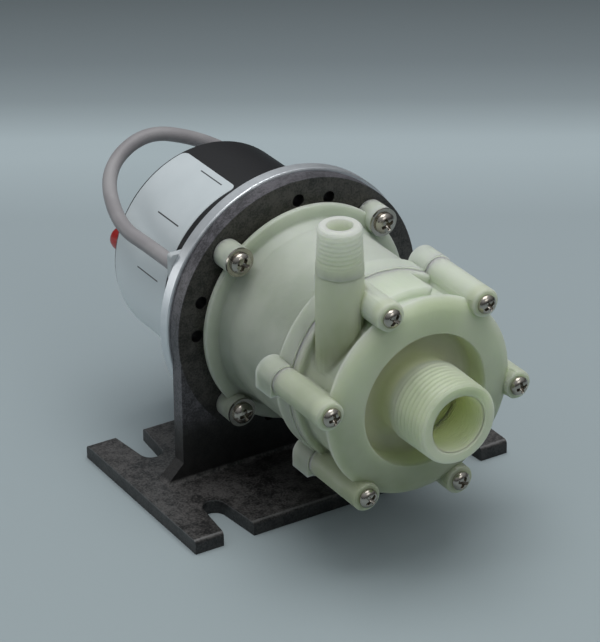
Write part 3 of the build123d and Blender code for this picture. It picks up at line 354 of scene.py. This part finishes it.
bracket = Finish("bracket_plastic")
x, y, z = bracket.axes()
mottle = bracket.noise(300, 5, 0.72)
streaks = bracket.noise(60, 3, 0.6)
specks = bracket.noise(1500, 2, 0.5)
tone = (mottle * 0.5 + streaks * 0.22 + specks * 0.38).between(0.44, 0.66)
radius = from_axis(x, z)
# A painted highlight: the plate's rim is painted lighter and bluer above the foot
painted_rim_highlight = radius.between(RIM_RADIUS - 0.0003, RIM_RADIUS - 0.0001) * z.between(0.020, 0.030)
# Painted shade: the walls of the holes through the plate are painted near black
painted_hole_shade = radius.between(HOLES_WITHIN, HOLES_WITHIN - 0.0004) * y.between(0.0001, 0.0006)
foot = z.between(0.0065, 0.0055)
# Painted shade: the plate is painted darker towards its bottom, by the foot
low = z.between(0.044, 0.014) * 0.8
# Painted shade: the base's side faces, below its top, are painted darker
sides = z.between(FOOT_THICK - 0.0004, FOOT_THICK - 0.0008) * 0.6
# A painted highlight in a thin band along the base's top edges, where a rounded edge would catch the light
painted_edge_highlight = z.between(FOOT_THICK - 0.0005, FOOT_THICK - 0.0002)
painted_edge_highlight = painted_edge_highlight * z.between(FOOT_THICK - 0.00001, FOOT_THICK - 0.00006)
plate = low.mix(tone.mix(seen(30, 29, 28), seen(74, 71, 68)), seen(10, 10, 11))
base = tone.mix(seen(24, 24, 24), seen(82, 80, 79))
base = (painted_edge_highlight * 0.5).mix(sides.mix(base, seen(13, 13, 14)), seen(112, 112, 112))
face = foot.mix(plate, base)
face = painted_rim_highlight.mix(face, tone.mix(seen(50, 49, 52), seen(94, 92, 97)))
bracket.set(
    Base_Color=painted_hole_shade.mix(face, seen(4, 4, 4)),
    Roughness=streaks * 0.25 + 0.30,
    Specular_IOR_Level=0.5,
)
bracket.bump(mottle + specks, 0.00010, 0.6)
bracket.dress("foot_bracket")


# ---- Motor -----------------------------------------------------------------------------------------------
# A turned aluminium front flange, a drawn can painted satin black and a turned rear plate, held together by
# four long bolts. The cable comes out of a small moulded block, and a label is wound round the can.

FLANGE_BACK = 0.0098

# The turning tool's fine rings are a sine wave, whose rate is in radians to a metre
TURNING_RATE = 9000.0

aluminium = Finish("turned_aluminium")
x, y, z = aluminium.axes()
radius = from_axis(x, z)
turning = (radius * TURNING_RATE + y * TURNING_RATE).math("SINE")
grain = aluminium.noise(400, 2)
# Painted shade: the walls of the holes through the flange are painted near black
painted_hole_shade = radius.between(HOLES_WITHIN, HOLES_WITHIN - 0.0004)
painted_hole_shade = painted_hole_shade * y.between(PLATE_BACK + 0.0001, PLATE_BACK + 0.0003)
painted_hole_shade = painted_hole_shade * y.between(FLANGE_BACK - 0.0002, FLANGE_BACK - 0.0004)
aluminium.set(
    Base_Color=painted_hole_shade.mix(grain.mix(seen(208, 213, 217), seen(226, 230, 233)), seen(8, 8, 8)),
    Metallic=0.8,
    Roughness=grain * 0.12 + 0.34,
)
aluminium.bump(turning, 0.00001, 0.4)
aluminium.dress("motor_flange", "rear_cover")

can_paint = Finish("can_paint")
peel = can_paint.noise(900, 2)
can_paint.set(
    Base_Color=can_paint.noise(40, 2).mix(seen(17, 17, 19), seen(27, 27, 29)),
    Roughness=peel * 0.15 + 0.3,
)
can_paint.bump(peel, 0.00005, 0.5)
can_paint.dress("motor_can")

gland = Finish("gland_plastic")
gland.set(Base_Color=gland.noise(300, 3).mix(seen(178, 184, 186), seen(192, 198, 200)), Roughness=0.45)
gland.bump(gland.noise(1200, 2), 0.00004, 0.6)
gland.dress("cable_gland")

# The label is a film with rounded corners, wound half round the can; three ruled lines are printed on it
LABEL_OUTER = 0.03468
LABEL_THICK = 0.00015
LABEL_TURN = radians(87.5)
LABEL_HALF_SWEEP = radians(75)
LABEL_MIDDLE = 0.0411
LABEL_HALF_LENGTH = 0.0161
LABEL_CORNER = 0.0024
RULE_FRONT = 0.030
RULE_REAR = 0.043
RULE_FIRST = radians(16.8)
RULE_STEP = radians(32.1)
RULE_HALF_WIDTH = 0.00023
RULE_FADE = 0.0001


def surface(name, points, finish, body, sharp=40):
    """A closed skin over a grid of rows, columns and X, Y, Z; a fourth leading axis holds more such grids.

    Each row runs once round, so its last point joins its first. Points that fall together are merged, which
    closes a row that shrinks to a point and a grid whose last row is its first.
    """
    grids = np.reshape(points, (-1, *np.shape(points)[-3:]))
    numbers = np.arange(grids[..., 0].size).reshape(grids.shape[:3])
    ahead = np.roll(numbers, -1, axis=2)
    quads = np.stack((numbers[:, :-1], numbers[:, 1:], ahead[:, 1:], ahead[:, :-1]), axis=-1)
    shape = bpy.data.meshes.new(name)
    shape.from_pydata(grids.reshape(-1, 3).tolist(), [], quads.reshape(-1, 4).tolist())
    close_skin(shape, sharp)
    return show(name, shape, finish, body)


def close_skin(shape, sharp):
    """Merges points that lie together, turns the faces outwards and shades all but the sharp edges smooth."""
    skin = bmesh.new()
    skin.from_mesh(shape)
    bmesh.ops.remove_doubles(skin, verts=skin.verts, dist=1e-6)
    bmesh.ops.recalc_face_normals(skin, faces=skin.faces)
    skin.to_mesh(shape)
    skin.free()
    shape.polygons.foreach_set("use_smooth", np.ones(len(shape.polygons), dtype=bool))
    shape.set_sharp_from_angle(angle=radians(sharp))


def show(name, shape, finish, body):
    """Puts a finished mesh into the scene as a piece that rides on a body."""
    shape.materials.append(finish.material)
    piece = bpy.data.objects.new(name, shape)
    bpy.context.scene.collection.objects.link(piece)
    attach(piece, body)
    return piece


def label_film_points():
    """The film: out along its outer face and back along its inner, at stations close together at the ends.

    Its corners are round: nearer to an end than a corner's radius, each side comes in by that radius less
    the root of its square less the square of how much nearer. At the very end the two faces meet.
    """
    station = LABEL_HALF_LENGTH * np.sin(np.linspace(-pi / 2, pi / 2, 41))
    edge = np.clip(LABEL_CORNER - (LABEL_HALF_LENGTH - np.abs(station)), 0, LABEL_CORNER)
    inset = LABEL_CORNER - np.sqrt(LABEL_CORNER**2 - edge**2)
    sweep = LABEL_HALF_SWEEP - inset / LABEL_OUTER
    across = np.linspace(-1, 1, 90)
    turn = LABEL_TURN + sweep[:, None] * np.concatenate((across, across[::-1]))
    closed = np.abs(station) > LABEL_HALF_LENGTH * 0.9999
    outer = np.where(closed, LABEL_OUTER - LABEL_THICK, LABEL_OUTER)[:, None] + 0 * across
    radius = np.concatenate((outer, np.full_like(outer, LABEL_OUTER - LABEL_THICK)), axis=1)
    along = LABEL_MIDDLE + station[:, None] + 0 * turn
    return np.stack((-radius * np.sin(turn), along, AXIS_HEIGHT + radius * np.cos(turn)), axis=-1)


label = Finish("label_film")
x, y, z = label.axes()
turn = (x * -1.0).math("ARCTAN2", z - AXIS_HEIGHT)
count = (turn - RULE_FIRST) / RULE_STEP
away = (count - count.math("ROUND")).math("ABSOLUTE") * (RULE_STEP * LABEL_OUTER)
ink = away.between(RULE_HALF_WIDTH * 1.3, RULE_HALF_WIDTH * 0.7)
ink = ink * y.between(RULE_FRONT - RULE_FADE, RULE_FRONT) * y.between(RULE_REAR, RULE_REAR - RULE_FADE)
ink = ink * count.between(2.5, 2.4)
film = label.noise(120, 2).mix(seen(192, 201, 204), seen(203, 211, 214))
# Painted light: the film is painted whiter round its side towards -X, from about 57 degrees from the top
film = turn.between(1.0, 1.9).mix(film, seen(226, 235, 238))
label.set(Base_Color=ink.mix(film, seen(52, 54, 58)), Roughness=0.42)
label.bump(label.noise(500, 2), 0.00003, 0.5)
motor_label = surface("wound_label", label_film_points(), label, "pump_body", 50)
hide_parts("motor_label")

red_plastic = Finish("red_plastic")
red_plastic.set(Base_Color=red_plastic.noise(300, 2).mix(seen(158, 22, 20), seen(186, 32, 28)), Roughness=0.3)
red_plastic.bump(red_plastic.noise(900, 2), 0.00004, 0.5)

# A soft domed cap on a plug, whose crown stands out past the can's rear edge: radii and heights along Y
CAP_CIRCLE = 0.0297
CAP_ANGLE = radians(168.5)
CAP_PROFILE = [
    (0.0, 0.0656),
    (0.0016, 0.0655),
    (0.0030, 0.0648),
    (0.0038, 0.0637),
    (0.0041, 0.0622),
    (0.0041, 0.0585),
    (0.0021, 0.0584),
    (0.0021, 0.0565),
    (0.0, 0.0565),
]
profile = np.array(CAP_PROFILE)
turns = np.linspace(0, 2 * pi, 40, endpoint=False)
across = CAP_CIRCLE * np.cos(CAP_ANGLE) + profile[:, :1] * np.cos(turns)
upwards = AXIS_HEIGHT + CAP_CIRCLE * np.sin(CAP_ANGLE) + profile[:, :1] * np.sin(turns)
cap_points = np.stack((across, profile[:, 1:] + 0 * turns, upwards), axis=-1)
cap = surface("domed_cap", cap_points, red_plastic, "pump_body", 50)
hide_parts("rear_cap")


# ---- Inside of the motor -----------------------------------------------------------------------------------
# The ground shaft in two sealed bearings, the magnet rotor, the laminated stator with its copper coils, and
# the drive board with its transistors.

SHEET_PITCH = 0.0005
WIRE_PITCH = 0.0007

steel = Finish("ground_steel")
brushed = steel.noise(900, 2)
steel.set(
    Base_Color=brushed.mix(seen(176, 176, 178), seen(200, 199, 198)),
    Metallic=1.0,
    Roughness=brushed * 0.15 + 0.25,
)
steel.bump(brushed, 0.00002, 0.5)
steel.dress(
    "tie_bolts", "motor_bearings", "preload_washer", "motor_shaft", "board_spacers", "drive_hub", "set_screws"
)

sheets = Finish("lamination")
x, y, z = sheets.axes()
layers = (y * (2 * pi / SHEET_PITCH)).math("SINE")
sheets.set(
    Base_Color=sheets.noise(200, 2).mix(seen(96, 98, 104), seen(122, 123, 128)),
    Metallic=0.8,
    Roughness=0.5,
)
sheets.bump(layers, 0.00004, 0.5)
sheets.dress("rotor_core", "stator_core")

sintered = Finish("sintered_magnet")
grit = sintered.noise(1400, 3)
sintered.set(Base_Color=grit.mix(seen(88, 89, 94), seen(120, 121, 125)), Metallic=0.7, Roughness=0.45)
sintered.bump(grit, 0.00004, 0.5)
sintered.dress("rotor_magnets", "drive_magnets", "driven_magnet")

copper = Finish("enamelled_copper")
x, y, z = copper.axes()
winding = ((x + z) * (2 * pi / WIRE_PITCH)).math("SINE")
copper.set(
    Base_Color=copper.noise(300, 2).mix(seen(168, 84, 44), seen(196, 106, 58)),
    Metallic=0.9,
    Roughness=0.3,
)
copper.bump(winding, 0.0001, 0.7)
copper.dress("windings")

board = Finish("lacquered_board")
tracks = board.noise(600, 1)
board.set(Base_Color=tracks.between(0.45, 0.55).mix(seen(20, 84, 46), seen(34, 106, 60)), Roughness=0.3)
board.bump(tracks.between(0.45, 0.55), 0.00005, 0.6)
board.dress("circuit_board")

chips = Finish("chip_case")
chips.set(Base_Color=chips.noise(300, 3).mix(seen(22, 22, 23), seen(36, 36, 37)), Roughness=0.5)
chips.bump(chips.noise(1200, 2), 0.00004, 0.6)
chips.dress("board_chips")


# ---- Pump head ---------------------------------------------------------------------------------------------
# Bell, isolation cup, impeller and cover are moulded in natural polypropylene: pale greenish white, a little
# translucent, waxy, with flow marks and slightly rough moulded faces. The cover's pipe ends are threaded.

OUTLET_AXIS = (-0.0204, -0.056)
OUTLET_TOP = 0.1121
OUTLET_STEP = 0.0972
INLET_END = 0.0896
INLET_STEP = 0.0729
PARTING = 0.0466
FACE_FRONT = 0.0720
FACE_REAR = 0.0674
FACE_INNER = 0.0222
FACE_OUTER = 0.0328
FACE_FALL = 0.0022
FALL_FROM = 0.0235
FALL_WIDTH = 0.0085
FALL_POWER = 1.7
REAR_EDGE_RADIUS = 0.0310
BORE_RINGS_PITCH = 0.0009
EDGE_GAP = 0.0002

# Each mask is 1 in its region and fades out over its edge. Most paint light and shade into the colour: the
# plastic is painted darker low down and on the left, and lighter on the bell's flange, the face ring, the
# spout, the outlet's mouth, the recess, the joint and the bore, standing in for light that comes through it.
polypropylene = Finish("natural_polypropylene")
x, y, z = polypropylene.axes()
radius = from_axis(x, z)
cloud = polypropylene.noise(45, 3, 0.55)
pores = polypropylene.noise(520, 4, 0.6)
flow = polypropylene.noise(150, 3, 0.5)
outwards = x - OUTLET_AXIS[0]
forwards = y - OUTLET_AXIS[1]
pipe = (outwards * outwards + forwards * forwards).math("SQRT")
recess = radius.between(0.0222, 0.0208) * y.between(-0.0722, -0.0700)
bore = radius.between(0.0098, 0.0090) * y.between(-0.0500, -0.0520)
crown = y.between(-0.0668, -0.0700) * z.between(0.040, 0.080)
spout = radius.between(0.0150, 0.0138) * y.between(-0.0670, -0.0720)
upright = pipe.between(0.0088, 0.0078) * z.between(0.064, 0.072)
joint = y.between(-PARTING - 0.0014, -PARTING - 0.0003) * y.between(-PARTING - 0.00002, -PARTING - 0.0002)
# Painted light and shade: the bell and cover are painted darker low down and lighter high up
height = z.between(0.018, 0.088)
bell_light_and_shade = height.mix(seen(128, 136, 115), seen(196, 206, 190))
cover_light_and_shade = height.mix(seen(152, 160, 130), seen(197, 208, 187))
# Painted shade: the bell and cover are painted darker on their left, towards -X
bell_light_and_shade = (x.between(0.0, -0.026) * 0.7).mix(bell_light_and_shade, seen(142, 150, 134))
cover_light_and_shade = (x.between(-0.020, -0.034) * 0.5).mix(cover_light_and_shade, seen(140, 147, 120))
# Painted light: the bell's flange by the plate is painted towards one even tone, lighter low down
bell_light_and_shade = (y.between(-0.0062, -0.0040) * 0.6).mix(bell_light_and_shade, seen(176, 185, 166))
plastic_light_and_shade = y.between(-PARTING + 0.0004, -PARTING - 0.0006).mix(bell_light_and_shade, cover_light_and_shade)
# Painted light: the face ring is painted lighter across its middle heights
plastic_light_and_shade = crown.mix(plastic_light_and_shade, seen(190, 200, 172))
# Painted light: the spout is painted lighter, most on its lower part
plastic_light_and_shade = spout.mix(plastic_light_and_shade, z.between(0.058, 0.066).mix(seen(208, 218, 186), seen(178, 188, 160)))
# Painted light and shade: the outlet pipe is painted darker low down and lighter up to its threaded mouth
pipe_light_and_shade = z.between(0.068, 0.099).mix(seen(138, 146, 112), seen(196, 206, 176))
mouth_light_and_shade = z.between(0.097, 0.109).mix(pipe_light_and_shade, seen(224, 234, 210))
plastic_light_and_shade = upright.mix(plastic_light_and_shade, mouth_light_and_shade)
# Painted light: the recess is painted lighter and yellower, and the joint's groove lighter against its shade
with_recess_and_joint_light = recess.mix((joint * 0.6).mix(plastic_light_and_shade, seen(240, 246, 228)), seen(206, 211, 172))
# Painted light: the inlet's bore is painted light and yellow, standing in for light through its wall
bore_painted_light = y.between(-0.074, -0.0890).mix(seen(232, 240, 186), seen(228, 238, 200))
polypropylene.set(
    Base_Color=bore.mix((cloud.between(0.35, 0.65) * 0.16).mix(with_recess_and_joint_light, seen(236, 240, 226)), bore_painted_light),
    Roughness=pores * 0.16 + 0.40,
    Subsurface_Weight=1.0,
    Subsurface_Radius=(0.0102, 0.0110, 0.0090),
    Subsurface_Scale=1.0,
    Specular_IOR_Level=0.42,
)
turning_rings = (y * (2 * pi / BORE_RINGS_PITCH)).math("SINE") * bore * 0.8
polypropylene.bump(pores + flow * 2.0 + turning_rings, 0.00009, 0.5)
polypropylene.dress("bell_housing", "isolation_cup", "impeller")


def spots_and_reach(shape):
    """A mesh's points as rows of X, Y and Z, and the distance of each from the pump axis."""
    spots = np.empty(len(shape.vertices) * 3)
    shape.vertices.foreach_get("co", spots)
    spots = spots.reshape(-1, 3)
    return spots, np.hypot(spots[:, 0], spots[:, 2] - AXIS_HEIGHT)


def draw_in(spots, middle, axes, chosen, radius, within, wanted):
    """Moves the chosen points that lie within so much of a radius from an axis to a wanted radius."""
    offset = spots[:, axes] - middle
    distance = np.linalg.norm(offset, axis=1)
    moved = chosen & (np.abs(distance - radius) < within)
    spots[np.ix_(moved, axes)] = np.array(middle) + offset[moved] * (wanted / distance[moved])[:, None]


# The edges that run outwards across the cover's face ring are cut in five, so that the ring can be domed
cover_shape = nodes["pump_cover"].data.copy()
cover_shape.materials.clear()
close_skin(cover_shape, 30)
spots, reach = spots_and_reach(cover_shape)
ends = np.empty(len(cover_shape.edges) * 2, dtype=np.int32)
cover_shape.edges.foreach_get("vertices", ends)
ends = ends.reshape(-1, 2)
inner, outer = np.sort(reach[ends], axis=1).T
across_face = (inner > FACE_INNER - 0.0007) & (outer < FACE_OUTER + EDGE_GAP) & (outer - inner > 0.002)
across_face &= spots[ends, 1].max(axis=1) < EDGE_GAP - FACE_FRONT
skin = bmesh.new()
skin.from_mesh(cover_shape)
skin.edges.ensure_lookup_table()
cut = [skin.edges[number] for number in np.flatnonzero(across_face).tolist()]
bmesh.ops.subdivide_edges(skin, edges=cut, cuts=4)
skin.to_mesh(cover_shape)
skin.free()

# Its plain pipe ends are drawn in under the threaded ones, which are turned with a wall of their own
spots, reach = spots_and_reach(cover_shape)
above = spots[:, 2] > OUTLET_STEP
ahead = spots[:, 1] < -INLET_STEP
draw_in(spots, OUTLET_AXIS, [0, 1], above, radius=0.0066, within=0.00045, wanted=0.0058)
draw_in(spots, (0.0, AXIS_HEIGHT), [0, 2], ahead, radius=0.0130, within=0.00045, wanted=0.0118)
spots[above, 2] = np.minimum(spots[above, 2], OUTLET_TOP - EDGE_GAP)
spots[:, 1] = np.maximum(spots[:, 1], EDGE_GAP - INLET_END)

# The rounded rear edge is drawn back over the joint, which moulding flash closes to a fine line. The face
# ring falls off by the distance out over the fall's width, to a power, and its rim moves in proportion.
rear_edge = (reach > REAR_EDGE_RADIUS) & (spots[:, 1] > -PARTING - 0.00019)
spots[rear_edge, 1] = -PARTING + 0.00015
station = -spots[:, 1]
on_face = (reach > FACE_INNER) & (reach < FACE_OUTER)
on_face &= (station > FACE_REAR) & (station < FACE_FRONT + 0.00005)
fall = FACE_FALL * np.clip((reach - FALL_FROM) / FALL_WIDTH, 0, 1) ** FALL_POWER
lowered = FACE_REAR + (station - FACE_REAR) * (1 - fall / (FACE_FRONT - FACE_REAR))
spots[:, 1] = np.where(on_face, -lowered, spots[:, 1])
cover_shape.vertices.foreach_set("co", spots.ravel())
cover_shape.update()
cover = show("cover_moulding", cover_shape, polypropylene, "pump_body")
even_shading = cover.modifiers.new("even_shading", "WEIGHTED_NORMAL")
even_shading.keep_sharp = True
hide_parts("pump_cover")


# Rows of points to a pitch, the cut of the first crests at the mouth, and the skin's thickness at its root
THREAD_ROWS = 14
MOUTH_CHAMFER = 0.0008
BACK_DEPTH = 0.0012


def threaded_end(bore, lip, crest_end, crest_root, end, root, runout, pitch, depth, around):
    """A pipe's end: up its bore, over its mouth and down its thread, as radii and heights by row and column.

    The crests widen evenly from the end to the root. Between them the wall is lower by half the depth times
    one less the cosine of a full turn for each pitch of height, less the angle round the pipe, which makes a
    helix. It fades out at the runout, and a slope of 45 degrees cuts the first crests off at the mouth. The
    last two rows close the skin behind the wall.
    """
    turn = np.linspace(0, 1, around, endpoint=False)
    height = np.linspace(end, root, int((end - root) / pitch * THREAD_ROWS))[:, None]
    crest = crest_end + (crest_root - crest_end) * (end - height) / (end - root)
    groove = depth * (1 - np.cos(2 * pi * (height / pitch - turn))) / 2
    fade = np.clip((height - runout) / pitch, 0, 1)
    wall = np.minimum(crest - groove * fade, crest_end - MOUTH_CHAMFER + (end - height))
    inner = np.array([[bore, root], [bore, end - lip], [bore + lip, end]])
    back = np.array([[crest_root - BACK_DEPTH, root], [bore, root]])
    plain = np.ones(around)
    radii = np.concatenate((inner[:, :1] * plain, wall, back[:, :1] * plain))
    heights = np.concatenate((inner[:, 1:] * plain, height * plain, back[:, 1:] * plain))
    return radii, heights, 2 * pi * turn


# Taper pipe threads of 1/4 inch on the outlet and 3/4 inch on the inlet
radii, heights, turns = threaded_end(
    bore=0.00385,
    lip=0.0003,
    crest_end=0.00664,
    crest_root=0.00730,
    end=OUTLET_TOP,
    root=OUTLET_STEP,
    runout=0.1000,
    pitch=0.00141,
    depth=0.00034,
    around=72,
)
across = OUTLET_AXIS[0] + radii * np.cos(turns)
along = OUTLET_AXIS[1] + radii * np.sin(turns)
outlet_thread = surface(
    "outlet_thread",
    np.stack((across, along, heights), axis=-1),
    polypropylene,
    "pump_body",
)
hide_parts("pump_cover")
radii, heights, turns = threaded_end(
    bore=0.00905,
    lip=0.0006,
    crest_end=0.01310,
    crest_root=0.01345,
    end=INLET_END,
    root=INLET_STEP,
    runout=INLET_STEP,
    pitch=0.00181,
    depth=0.00024,
    around=112,
)
inlet_thread = surface(
    "inlet_thread",
    np.stack((radii * np.cos(turns), -heights, AXIS_HEIGHT + radii * np.sin(turns)), axis=-1),
    polypropylene,
    "pump_body",
)
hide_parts("pump_cover")

rubber = Finish("seal_rubber")
rubber.set(Base_Color=rubber.noise(200, 2).mix(seen(22, 22, 22), seen(34, 33, 33)), Roughness=0.6)
rubber.bump(rubber.noise(900, 2), 0.00004, 0.5)
rubber.dress("seal_ring")

carbon = Finish("pressed_carbon")
carbon.set(Base_Color=carbon.noise(500, 3).mix(seen(34, 34, 36), seen(54, 54, 57)), Roughness=0.5)
carbon.bump(carbon.noise(1200, 2), 0.00004, 0.5)
carbon.dress("bushing")

ceramic = Finish("ground_ceramic")
ceramic.set(Base_Color=ceramic.noise(200, 2).mix(seen(236, 233, 222), seen(244, 242, 233)), Roughness=0.22)
ceramic.bump(ceramic.noise(1500, 2), 0.00002, 0.5)
ceramic.dress("spindle", "thrust_washers")


# ---- Screws -----------------------------------------------------------------------------------------------
# Polished stainless pan head screws: four with washers through the bell's ears, and six long ones through
# the cover's bosses, with nuts in the bell's lugs.

stainless = Finish("stainless")
polish = stainless.noise(700, 2)
stainless.set(
    Base_Color=polish.mix(seen(164, 158, 148), seen(188, 183, 174)),
    Metallic=1.0,
    Roughness=polish * 0.1 + 0.17,
)
stainless.bump(polish, 0.00002, 0.5)
stainless.dress("cover_nuts", "bell_washers")

SCREW_CHAMFER = 0.0005

# The cross recess: its arms as shares of the head's radius, and its depth as a share of the crown's rise
ARM_HALF_WIDTH = 0.165
ARM_WALL = 0.035
ARM_REACH = 0.62
CROSS_DEPTH = 0.85


def pan_screws(circle, angles, drives, seat, length, shank, head, rise):
    """Pan head screws beside the pump axis, each from the middle of its crown out, down and back to its tip.

    The crown falls off from its rise by 0.3 of it times the square, and 0.35 of it times the sixth power, of
    the share of the head's radius. A cross is sunk in it: where the nearer of two square lines is within half
    an arm's width, the crown is lower by the cross's depth, which falls with the square of the distance from
    the middle, to the power of 0.7, to nothing at the arm's end.
    """
    turn = np.linspace(0, 2 * pi, 96, endpoint=False)
    share = np.concatenate((np.linspace(0, 0.64, 20), np.linspace(0.68, 1, 9)))[:, None]
    crown = rise * (1 - 0.3 * share**2 - 0.35 * share**6)
    arm = head * share * np.minimum(np.abs(np.cos(turn)), np.abs(np.sin(turn)))
    sides = np.clip((ARM_HALF_WIDTH - arm / head) / ARM_WALL, 0, 1)
    ends = np.clip(1 - (share / ARM_REACH) ** 2, 0, 1)
    top = crown - CROSS_DEPTH * rise * sides * ends**0.7
    tip = [[shank, SCREW_CHAMFER - length], [shank - SCREW_CHAMFER, -length], [0, -length]]
    under = np.array([[head, 0], [shank, 0], *tip])
    plain = np.ones(len(turn))
    radii = np.concatenate((head * share * plain, under[:, :1] * plain))
    levels = np.concatenate((top, under[:, 1:] * plain))
    angle = np.radians(angles)[:, None, None]
    drive = np.radians(drives)[:, None, None]
    across = circle * np.cos(angle) + radii * np.cos(turn + drive)
    upwards = AXIS_HEIGHT + circle * np.sin(angle) + radii * np.sin(turn + drive)
    return np.stack((across, -(seat + levels) + 0 * angle, upwards), axis=-1)


bell_screw_points = pan_screws(
    circle=0.0372,
    angles=[45, 135, 225, 315],
    drives=[20, 64, 10, 38],
    seat=0.0086,
    length=0.0176,
    shank=0.0017,
    head=0.00345,
    rise=0.0024,
)
face_screws = surface("bell_pan_screws", bell_screw_points, stainless, "pump_body", 30)
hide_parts("bell_screws")
cover_screw_points = pan_screws(
    circle=0.034,
    angles=[-7.8, 52.2, 112.2, 172.2, 232.2, 292.2],
    drives=[12, 30, 52, 8, 40, 66],
    seat=0.0723,
    length=0.034,
    shank=0.00145,
    head=0.00305,
    rise=0.0022,
)
long_screws = surface("cover_pan_screws", cover_screw_points, stainless, "pump_body", 30)
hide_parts("cover_screws")
